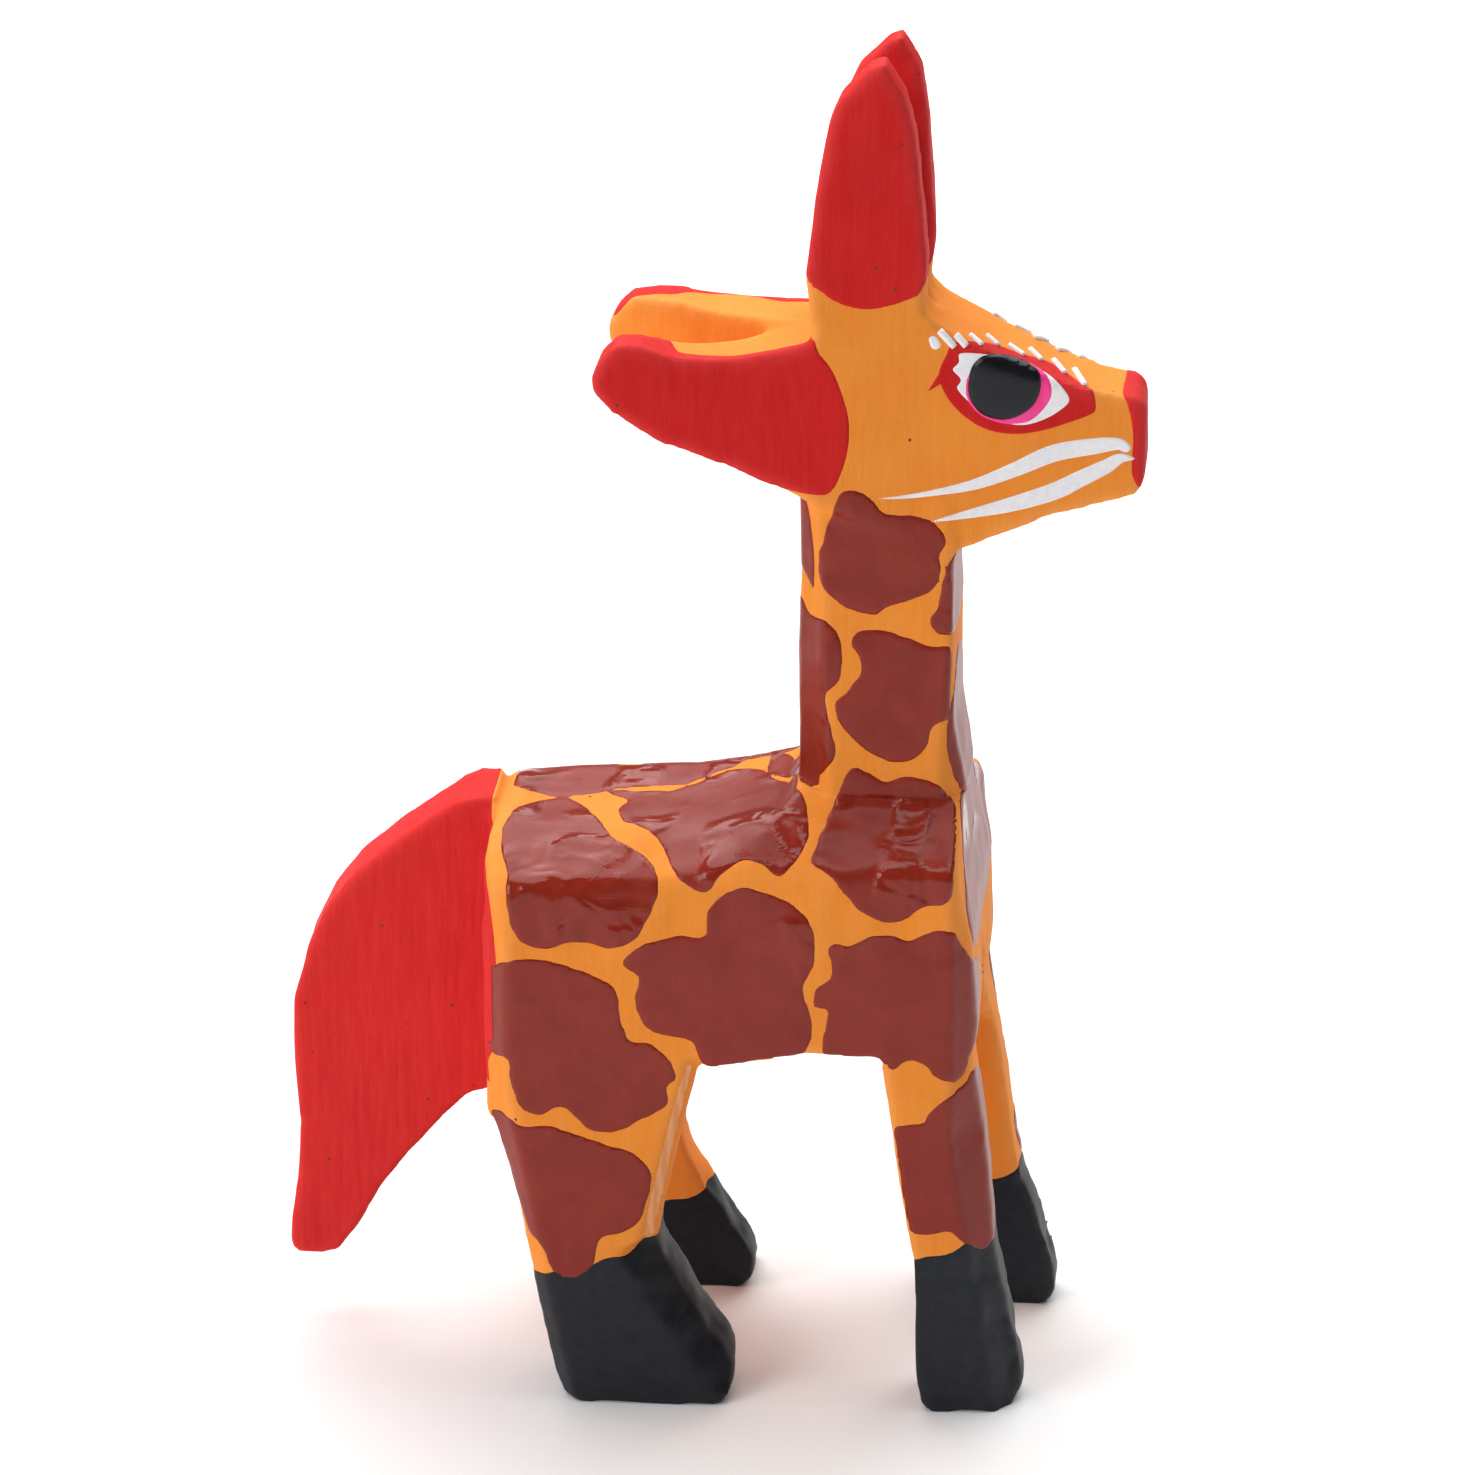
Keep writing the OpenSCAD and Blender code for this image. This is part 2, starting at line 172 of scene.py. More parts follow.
def fit_the_tail(co):
    """Pares the points round the tail's root. The root rises by TAIL_RISE and flares to
    the left by TAIL_FLARE to meet the back, whose left rear corner drops by CORNER_DROP."""
    x, y, z = co.T
    high = step(z, 46, 54)
    root = step(x, RUMP_X - 9, RUMP_X - 2) * step(RUMP_X + 5 - x, 0, 4) * step(6 - y, 0, 3)
    corner = step(RUMP_X + 7 - x, 0, 7) * step(y, 4, 9)
    flare = step(x, RUMP_X - 6, RUMP_X - 0.5) * step(RUMP_X + 0.5 - x, 0, 1) * step(y, 1, 3)
    z += (TAIL_RISE * root - CORNER_DROP * corner) * high
    y += TAIL_FLARE * flare * high


def worn_round(co):
    """How much more each point is sanded: fully along the fold over the right flank, which is
    crisp again towards the chest, and a little where the tail's joint was filled."""
    x, y, z = co.T
    fold = step(-y, 9.5, 11.5) * step(z, 46, 49) * step(-z, -56, -53.5)
    fold *= 1 - 0.85 * step(x, 6, 13)
    joint = 0.2 * step(2.2 - abs(x - RUMP_X), 0, 1) * step(z, 51, 53)
    return np.maximum(fold, joint)


def knife_marks(co, nor):
    """How far the surface stands out or in, in millimetres: hand-cut waviness everywhere, more
    of it along the folds over the flanks, and rough unsanded cuts on the hooves' fronts, in the
    notches and beside the nostrils."""
    x, y, z = co.T
    wave = 0.10 * lumps(co, 9.0, 1) + 0.035 * lumps(co, 3.2, 2)
    hoof_front = step(nor[:, 0], 0.25, 0.6) * step(-z, -17, -14)
    ear_notch = step(-x, -9, -7) * step(z, SEAT_Z + 30, SEAT_Z + 33) * step(6 - abs(y), 0, 1)
    ear_notch *= step(abs(nor[:, 1]), 0.2, 0.5)
    horn_notch = step(2.6 - abs(y), 0, 0.6) * step(z, SEAT_Z + 43, SEAT_Z + 45)
    nostril = step(x, MUZZLE_X - 4.5, MUZZLE_X - 3.5) * step(nor[:, 2], 0.2, 0.5)
    rough = np.clip(hoof_front + 0.6 * ear_notch + 0.7 * horn_notch + 0.5 * nostril, 0, 1)
    chips = 0.14 * lumps(co, 3.4, 3) + 0.05 * lumps(co, 1.4, 4)
    fold = 0.13 * lumps(co, 3.6, 8) * step(z, 43, 46) * step(-z, -58, -55) * step(abs(y), 7, 9)
    return wave + rough * chips + fold


def cut_off(skin, point, direction):
    """A copy of the skin with what lies beyond a plane sawn off and the cut closed."""
    bm = bmesh.new()
    bm.from_mesh(skin)
    parts = list(bm.verts) + list(bm.edges) + list(bm.faces)
    cut = bmesh.ops.bisect_plane(bm, geom=parts, dist=1e-5, plane_co=point, plane_no=direction,
                                 clear_outer=True)
    rim = [e for e in cut["geom_cut"] if isinstance(e, bmesh.types.BMEdge)]
    bmesh.ops.holes_fill(bm, edges=rim, sides=0)
    bmesh.ops.triangulate(bm, faces=[f for f in bm.faces if len(f.verts) > 4])
    result = bpy.data.meshes.new("part")
    bm.to_mesh(result)
    bm.free()
    return result


class Skin:
    """The surface of one piece of wood, ready to be painted: its points, triangles, normals and
    broad facing, and mark, which a material reads at each point. In matte paint it says how
    rubbed an edge is, and in enamel how wet it lies."""

    def __init__(self, co, tri, edge):
        self.co = co
        self.tri = tri
        self.nor = normals(co, tri)
        self.facing = eased_normals(self.nor, edge)
        bulge = -((neighbour_mean(co, edge) - co) * self.nor).sum(1)
        bulge = neighbour_mean(np.repeat(bulge[:, None], 3, 1), edge)[:, 0]
        self.mark = np.clip(bulge / SHARP_BULGE, 0, 1)


def finer(skin, low, high, rounds):
    """The patch of a skin inside a box, with each triangle cut in four, rounds times."""
    centre = skin.co[skin.tri].mean(1)
    tri = skin.tri[((centre > low) & (centre < high)).all(1)]
    values = np.column_stack([skin.co, skin.nor, skin.mark])
    for _ in range(rounds):
        pairs = np.sort(np.concatenate([tri[:, [0, 1]], tri[:, [1, 2]], tri[:, [2, 0]]]), 1)
        unique, where = np.unique(pairs, axis=0, return_inverse=True)
        where = where.reshape(3, -1) + len(values)
        values = np.concatenate([values, values[unique].mean(1)])
        ab, bc, ca = where
        a, b, c = tri.T
        tri = np.concatenate([np.stack(t, 1) for t in ((a, ab, ca), (ab, b, bc), (ca, bc, c),
                                                       (ab, bc, ca))])
    used, tri = np.unique(tri, return_inverse=True)
    patch = Skin.__new__(Skin)
    patch.co = values[used, :3]
    patch.nor = values[used, 3:6] / np.linalg.norm(values[used, 3:6], axis=1)[:, None]
    patch.mark = values[used, 6]
    patch.tri = tri.reshape(-1, 3)
    return patch


# ---- Paint -----------------------------------------------------------------------

def smooth_ring(points, each=8):
    """A smooth closed line through the points."""
    p = np.array(points, float)
    before, after, beyond = np.roll(p, 1, 0), np.roll(p, -1, 0), np.roll(p, -2, 0)
    t = (np.arange(each) / each)[None, :, None]
    a, b, c, d = (q[:, None] for q in (before, p, after, beyond))
    line = 0.5 * (2 * b + (c - a) * t + (2 * a - 5 * b + 4 * c - d) * t**2
                  + (3 * b - a - 3 * c + d) * t**3)
    return line.reshape(-1, p.shape[1])


def smooth_line(points, each=12):
    """A smooth open line through the points."""
    p = np.array(points, float)
    ends = np.concatenate([[2 * p[0] - p[1]], p, [2 * p[-1] - p[-2]]])
    return np.concatenate([smooth_ring(ends, each)[each:-2 * each], p[-1:]])


def within(uv, outline):
    """How far each point lies inside a closed outline: negative outside."""
    ring = smooth_ring(outline)
    depth = np.full(len(uv), -9.0)
    near = ((uv > ring.min(0) - 1) & (uv < ring.max(0) + 1)).all(1)
    if not near.any():
        return depth
    p, a, b = uv[near][:, None], ring[None], np.roll(ring, -1, 0)[None]
    along = b - a
    t = np.clip(((p - a) * along).sum(2) / np.maximum((along**2).sum(2), 1e-12), 0, 1)
    gap = np.linalg.norm(p - a - t[..., None] * along, axis=2).min(1)
    crosses = (a[..., 1] > p[..., 1]) != (b[..., 1] > p[..., 1])
    rise = np.where(abs(along[..., 1]) < 1e-12, 1e-12, along[..., 1])
    left = p[..., 0] < a[..., 0] + (p[..., 1] - a[..., 1]) * along[..., 0] / rise
    inside = (crosses & left).sum(1) % 2 == 1
    depth[near] = np.where(inside, gap, -gap)
    return depth


def along_stroke(uv, stroke):
    """How far each point lies inside a brush stroke, given as (x, z, width) along it."""
    line = smooth_line(stroke)
    depth = np.full(len(uv), -9.0)
    near = ((uv > line[:, :2].min(0) - 2) & (uv < line[:, :2].max(0) + 2)).all(1)
    gap = np.linalg.norm(uv[near][:, None] - line[None, :, :2], axis=2)
    depth[near] = (line[None, :, 2] / 2 - gap).max(1)
    return depth


def seen(co, nor, side, plane):
    """Where points of the skin fall on the painter's plane, plane millimetres out from the
    middle. Front and rear faces unroll past the edge. side is -1 on the right, 1 on the left."""
    flip = np.array([1, -side, 1])
    p, n = co * flip, nor * flip
    share = (-plane - STATION[1]) / (p[:, 1] - STATION[1])
    u = STATION[0] + (p[:, 0] - STATION[0]) * share
    v = STATION[2] + (p[:, 2] - STATION[2]) * share
    deep = p[:, 1] + plane
    turned = step(n[:, 0], 0.6, 0.9) - step(-n[:, 0], 0.6, 0.9)
    level = abs(turned)
    u = u + turned * deep
    v = v * (1 - level) + p[:, 2] * level
    return np.stack([u, v], 1)


def coat(skin, depth, thickness, rim=0.35, sink=0.06, rise=None):
    """The closed film of paint that lies where depth is above 0: its points, its triangles and
    the mark of each point. It comes up from under the surface at its rim, to its thickness, or
    to the height that the function rise gives for each depth."""
    inside = depth > 0
    count = inside[skin.tri].sum(1)
    whole = skin.tri[count == 3]
    values = np.column_stack([skin.co, skin.nor, skin.mark, depth])
    size = len(values)

    def turned(tri, odd):
        first = np.argmax(inside[tri] == odd, 1)
        return tri[np.arange(len(tri))[:, None], (first[:, None] + np.arange(3)) % 3]

    one, two = turned(skin.tri[count == 1], True), turned(skin.tri[count == 2], False)
    cuts = np.concatenate([one[:, [0, 1]], one[:, [0, 2]], two[:, [0, 1]], two[:, [0, 2]]])
    pairs, where = np.unique(np.sort(cuts, 1), axis=0, return_inverse=True)
    where = where.ravel() + size
    a, b = pairs.T
    t = (depth[a] / (depth[a] - depth[b]))[:, None]
    values = np.concatenate([values, values[a] * (1 - t) + values[b] * t])
    n1, n2 = len(one), len(two)
    one_ab, one_ac, two_ab, two_ac = np.split(where, [n1, 2 * n1, 2 * n1 + n2])
    tri = np.concatenate([whole, np.stack([one[:, 0], one_ab, one_ac], 1),
                          np.stack([two_ab, two[:, 1], two[:, 2]], 1),
                          np.stack([two_ab, two[:, 2], two_ac], 1)])
    used, tri = np.unique(tri, return_inverse=True)
    tri = tri.reshape(-1, 3)
    values = values[used]
    co, nor, mark, deep = values[:, :3], values[:, 3:6], values[:, 6], values[:, 7]
    nor = nor / np.linalg.norm(nor, axis=1)[:, None]
    lift = rise(deep) if rise else thickness * step(deep, 0, rim) ** 0.6
    top = co + nor * (lift - 0.01)[:, None]
    under = co - nor * sink
    return closed_film(top, under, tri), mark


def closed_film(top, under, tri):
    """Points and faces of a film with these upper and lower points over the same triangles."""
    size = len(top)
    edge = np.concatenate([tri[:, [0, 1]], tri[:, [1, 2]], tri[:, [2, 0]]])
    key = edge.min(1) * size + edge.max(1)
    _, first, count = np.unique(key, return_index=True, return_counts=True)
    rim = edge[first[count == 1]]
    walls = np.stack([rim[:, 1], rim[:, 0], rim[:, 0] + size, rim[:, 1] + size], 1)
    faces = tri.tolist() + (tri[:, ::-1] + size).tolist() + walls.tolist()
    return np.concatenate([top, under]), faces


# ---- Materials -------------------------------------------------------------------

def linear(code):
    """A hex colour as linear red, green, blue and alpha."""
    parts = [int(code[i:i + 2], 16) / 255 for i in (1, 3, 5)]
    return [c / 12.92 if c <= 0.04045 else ((c + 0.055) / 1.055) ** 2.4 for c in parts] + [1.0]


def add(tree, kind, inputs=None, **settings):
    """Adds a node with its settings, and its inputs set or linked."""
    node = tree.nodes.new(kind)
    for name, value in settings.items():
        setattr(node, name, value)
    for name, value in (inputs or {}).items():
        if isinstance(value, bpy.types.NodeSocket):
            tree.links.new(value, node.inputs[name])
        else:
            node.inputs[name].default_value = value
    return node


def blank(name):
    """An empty material, its node tree, and places on the piece in millimetres."""
    material = bpy.data.materials.new(name)
    material.use_nodes = True
    tree = material.node_tree
    tree.nodes.clear()
    place = add(tree, "ShaderNodeTexCoord").outputs["Object"]
    scaled = add(tree, "ShaderNodeMapping", {"Vector": place, "Scale": (1000, 1000, 1000)})
    return material, tree, scaled.outputs["Vector"]


def done(tree, **inputs):
    """Ends a material with its shader."""
    named = {name.replace("_", " "): value for name, value in inputs.items()}
    shader = add(tree, "ShaderNodeBsdfPrincipled", named)
    add(tree, "ShaderNodeOutputMaterial", {"Surface": shader.outputs["BSDF"]})


def poster_paint(name, main, pale, deep, streak, edge_pale):
    """Matte water-based paint, brushed thin over sawn softwood. The eye sees a flat chalky
    colour with faint upright brush streaks 0.5 mm apart, open pores and a few dust specks, and
    it is rubbed paler along the edges."""
    material, tree, mm = blank(name)
    along = add(tree, "ShaderNodeMapping", {"Vector": mm, "Scale": (1.0, 1.0, 0.09)})
    brush = add(tree, "ShaderNodeTexNoise", {"Vector": along.outputs[0], "Scale": 1.9,
                                             "Detail": 4.0, "Roughness": 0.65})
    cloud = add(tree, "ShaderNodeTexNoise", {"Vector": mm, "Scale": 0.16, "Detail": 2.0})
    pores = add(tree, "ShaderNodeTexNoise", {"Vector": mm, "Scale": 4.2, "Detail": 3.0})
    specks = add(tree, "ShaderNodeTexVoronoi", {"Vector": mm, "Scale": 0.42})
    dots = add(tree, "ShaderNodeMapRange", {"Value": specks.outputs["Distance"],
                                            "From Min": 0.045, "From Max": 0.075,
                                            "To Min": 1.0, "To Max": 0.0})
    chosen = add(tree, "ShaderNodeMath", {0: specks.outputs["Color"], 1: 0.62},
                 operation="GREATER_THAN")
    shown = add(tree, "ShaderNodeMath", {0: dots.outputs[0], 1: chosen.outputs[0]},
                operation="MULTIPLY")
    streaks = add(tree, "ShaderNodeMapRange", {"Value": brush.outputs["Fac"], "From Min": 0.36,
                                               "From Max": 0.66, "To Min": 0.0,
                                               "To Max": streak * 0.7})
    clouds = add(tree, "ShaderNodeMapRange", {"Value": cloud.outputs["Fac"], "From Min": 0.4,
                                              "From Max": 0.62, "To Min": 0.0, "To Max": 0.35})
    colour = add(tree, "ShaderNodeMix", {"Factor": clouds.outputs[0], 6: linear(main),
                                         7: linear(deep)}, data_type="RGBA")
    colour = add(tree, "ShaderNodeMix", {"Factor": streaks.outputs[0], 6: colour.outputs[2],
                                         7: linear(pale)}, data_type="RGBA")
    edge = add(tree, "ShaderNodeAttribute", attribute_name="mark")
    rubbed = add(tree, "ShaderNodeMath", {0: edge.outputs["Fac"], 1: edge_pale},
                 operation="MULTIPLY")
    colour = add(tree, "ShaderNodeMix", {"Factor": rubbed.outputs[0], 6: colour.outputs[2],
                                         7: linear(pale)}, data_type="RGBA")
    colour = add(tree, "ShaderNodeMix", {"Factor": shown.outputs[0], 6: colour.outputs[2],
                                         7: linear("#6b3a1c")}, data_type="RGBA")
    height = add(tree, "ShaderNodeMath", {0: brush.outputs["Fac"], 1: pores.outputs["Fac"]},
                 operation="ADD")
    bump = add(tree, "ShaderNodeBump", {"Height": height.outputs[0], "Strength": 0.35,
                                        "Distance": 0.00012})
    done(tree, Base_Color=colour.outputs[2], Roughness=0.68, Normal=bump.outputs[0],
         Specular_IOR_Level=0.16)
    return material


def gloss_enamel(name, main, pale, deep):
    """Solvent enamel laid on thick with a soft brush. The eye sees an even satin skin with fine
    upright brush lines, painted paler along them as a painted streaky sheen, and a deep wet gloss
    with wrinkles 3 mm apart where it pooled."""
    material, tree, mm = blank(name)
    along = add(tree, "ShaderNodeMapping", {"Vector": mm, "Scale": (1.0, 1.0, 0.12)})
    brush = add(tree, "ShaderNodeTexNoise", {"Vector": along.outputs[0], "Scale": 2.6,
                                             "Detail": 3.0})
    pooled = add(tree, "ShaderNodeTexNoise", {"Vector": mm, "Scale": 0.3, "Detail": 1.0,
                                              "Distortion": 0.9})
    wet = add(tree, "ShaderNodeAttribute", attribute_name="mark")
    grit = add(tree, "ShaderNodeTexNoise", {"Vector": mm, "Scale": 3.6, "Detail": 2.0})
    tone = add(tree, "ShaderNodeMapRange", {"Value": pooled.outputs["Fac"], "From Min": 0.35,
                                            "From Max": 0.7})
    colour = add(tree, "ShaderNodeMix", {"Factor": tone.outputs[0], 6: linear(main),
                                         7: linear(deep)}, data_type="RGBA")
    # Paler streaks along the upright brush lines: the brush lines are real, and their paler colour
    # is a painted sheen
    brush_lines_and_sheen = add(tree, "ShaderNodeMapRange", {"Value": brush.outputs["Fac"], "From Min": 0.5,
                                             "From Max": 0.8, "To Min": 0.0, "To Max": 0.35})
    colour = add(tree, "ShaderNodeMix", {"Factor": brush_lines_and_sheen.outputs[0], 6: colour.outputs[2],
                                         7: linear(pale)}, data_type="RGBA")
    dull = add(tree, "ShaderNodeMapRange", {"Value": wet.outputs["Fac"], "To Min": 0.36,
                                            "To Max": 0.12})
    ripple = add(tree, "ShaderNodeMapRange", {"Value": wet.outputs["Fac"], "To Min": 0.1,
                                              "To Max": 1.0})
    ripple = add(tree, "ShaderNodeMath", {0: ripple.outputs[0], 1: pooled.outputs["Fac"]},
                 operation="MULTIPLY")
    low = add(tree, "ShaderNodeBump", {"Height": ripple.outputs[0], "Strength": 0.7,
                                       "Distance": 0.0009})
    fine = add(tree, "ShaderNodeMath", {0: brush.outputs["Fac"], 1: grit.outputs["Fac"]},
               operation="ADD")
    bump = add(tree, "ShaderNodeBump", {"Height": fine.outputs[0], "Strength": 0.2,
                                        "Distance": 0.00006, "Normal": low.outputs[0]})
    done(tree, Base_Color=colour.outputs[2], Roughness=dull.outputs[0],
         Normal=bump.outputs[0], Specular_IOR_Level=0.29)
    return material


def thick_paint(name, main, deep, roughness, grain, relief):
    """Opaque paint put on with a loaded brush: an even colour, softly mottled, with a skin
    that shows the brush. grain is the spacing of its marks in millimetres."""
    material, tree, mm = blank(name)
    marks = add(tree, "ShaderNodeTexNoise", {"Vector": mm, "Scale": 1 / grain, "Detail": 4.0,
                                             "Roughness": 0.6})
    tone = add(tree, "ShaderNodeMapRange", {"Value": marks.outputs["Fac"], "From Min": 0.35,
                                            "From Max": 0.68})
    colour = add(tree, "ShaderNodeMix", {"Factor": tone.outputs[0], 6: linear(main),
                                         7: linear(deep)}, data_type="RGBA")
    bump = add(tree, "ShaderNodeBump", {"Height": marks.outputs["Fac"], "Strength": 0.4,
                                        "Distance": relief * MM})
    done(tree, Base_Color=colour.outputs[2], Roughness=roughness, Normal=bump.outputs[0],
         Specular_IOR_Level=0.3)
    return material


def bare_wood(name, main, deep):
    """Turned softwood dowel, left bare: straight grain along it, with a dull raw surface."""
    material, tree, mm = blank(name)
    rings = add(tree, "ShaderNodeTexWave", {"Vector": mm, "Scale": 0.35, "Distortion": 3.0,
                                            "Detail": 2.0})
    colour = add(tree, "ShaderNodeMix", {"Factor": rings.outputs["Fac"], 6: linear(main),
                                         7: linear(deep)}, data_type="RGBA")
    bump = add(tree, "ShaderNodeBump", {"Height": rings.outputs["Fac"], "Strength": 0.2,
                                        "Distance": 0.0001})
    done(tree, Base_Color=colour.outputs[2], Roughness=0.75, Normal=bump.outputs[0])
    return material


ORANGE = poster_paint("orange_poster_paint", "#f08e2f", "#fab068", "#ea8224", 0.18, 0.35)
RED = poster_paint("red_poster_paint", "#cd1818", "#df4644", "#c21417", 0.2, 0.5)
TAIL_RED = poster_paint("streaky_red_poster_paint", "#d32224", "#e83c34", "#c41b20", 0.5, 0.3)
# The enamel's pale colour is a painted sheen, laid along its brush lines
BROWN = gloss_enamel("brown_brushed_enamel", "#8c2818", "#933128", "#842214")
HOOF = thick_paint("black_hoof_paint", "#181d26", "#0f131a", 0.5, 1.1, 0.08)
WHITE = thick_paint("white_acrylic_paint", "#f4f2f5", "#ebe9ee", 0.4, 0.5, 0.05)
PINK = thick_paint("bright_pink_paint", "#ff4ba6", "#ff3580", 0.4, 0.8, 0.03)
PUPIL = thick_paint("black_enamel_drop", "#0b0d12", "#12151b", 0.28, 2.4, 0.04)
SAWN = bare_wood("rubbed_softwood", "#fab27c", "#ee9c5e")
DOWEL = bare_wood("bare_dowel_wood", "#d9b98a", "#c49c68")


# ---- Putting pieces together -----------------------------------------------------

def finish_piece(name, verts, faces, material, mark=None, stands_for=()):
    """A finished piece that rides on the giraffe's one body."""
    obj = plain_mesh(name, verts, faces)
    obj.data.materials.append(material)
    obj.data.polygons.foreach_set("use_smooth", [len(face) < 4 for face in faces])
    if mark is not None:
        values = np.zeros(len(obj.data.vertices), np.float32)
        values[:len(mark)] = mark
        attribute = obj.data.attributes.new("mark", "FLOAT", "POINT")
        attribute.data.foreach_set("value", values)
    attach(obj, "root")
    if stands_for:
        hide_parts(*stands_for)
    return obj


def painted(name, skin, depth, thickness, material, slot, **more):
    """A film of paint on a skin, as a finished piece."""
    stands_for = more.pop("stands_for", ())
    (verts, faces), mark = coat(skin, depth, thickness, **more)
    return finish_piece(name, verts, faces, material, mark, stands_for)


# The brown spots on the right side, as outlines of (x, z). The neck's and the body's are drawn on
# planes this far from the middle.
NECK_PLANE = 5.5
BODY_PLANE = 14.0
HALFWAY = 6.0            # the right side's paint runs over the back to here, the left's from here
OFF_THE_PLANE = 1000.0
NECK_SPOTS = {
    "under_the_jaw": [(12.2, 86), (13.7, 86.3), (15, 85.5), (16, 84.4), (18.3, 84.2), (20.2, 83.7),
                      (21.3, 82), (20.8, 80.6), (20.9, 79), (20.4, 77.6), (19, 76.6),
                      (17.3, 76), (16, 75.4), (15.2, 74.8), (13.4, 75.1), (11.8, 76),
                      (10.6, 77.5), (10.3, 79.5), (10.7, 81.5), (11.4, 83.8)],
    "throat": [(14.1, 73.3), (15.8, 73.4), (17.8, 72.9), (20, 72.1), (21.9, 72), (22.2, 68.5),
               (22, 65.6), (20.5, 64.5), (19.9, 62.6), (18.8, 61.3), (17.5, 60.8), (15.8, 61.2),
               (13.9, 62.4), (12.3, 64.4), (11.9, 66.2), (12.9, 67.5), (14, 69), (14, 70.5),
               (13.2, 72)],
    "low_nape": [(9.7, 74.4), (11, 74), (12.2, 72.5), (12.5, 70.2), (12.2, 68.4), (11.1, 67),
                 (11.3, 65), (11.8, 62.7), (11.9, 61.2), (11, 59.7), (9.8, 58.9), (7.5, 60),
                 (3, 62), (-1, 66), (0, 71), (4, 74.5), (7, 75.2)],
    "high_nape": [(7.6, 85), (9.2, 83.6), (9.8, 81.3), (10, 79), (9.7, 77), (8.4, 77.6),
                  (4, 78.6), (1, 81), (2, 84.5), (5, 85.5)],
    "front_high": [(21.8, 80.3), (21, 78.2), (20.7, 76), (20, 74.6), (20.5, 73.4), (22.2, 73),
                   (27, 72.8), (33, 73.5), (36, 77), (34, 80.6), (28, 81.4), (23.5, 81)],
    "front_low": [(22.7, 67), (21.6, 64), (22, 61), (23, 59), (25.5, 58.3), (31, 58.6),
                  (34, 62), (32, 68), (26, 70.5)],
}
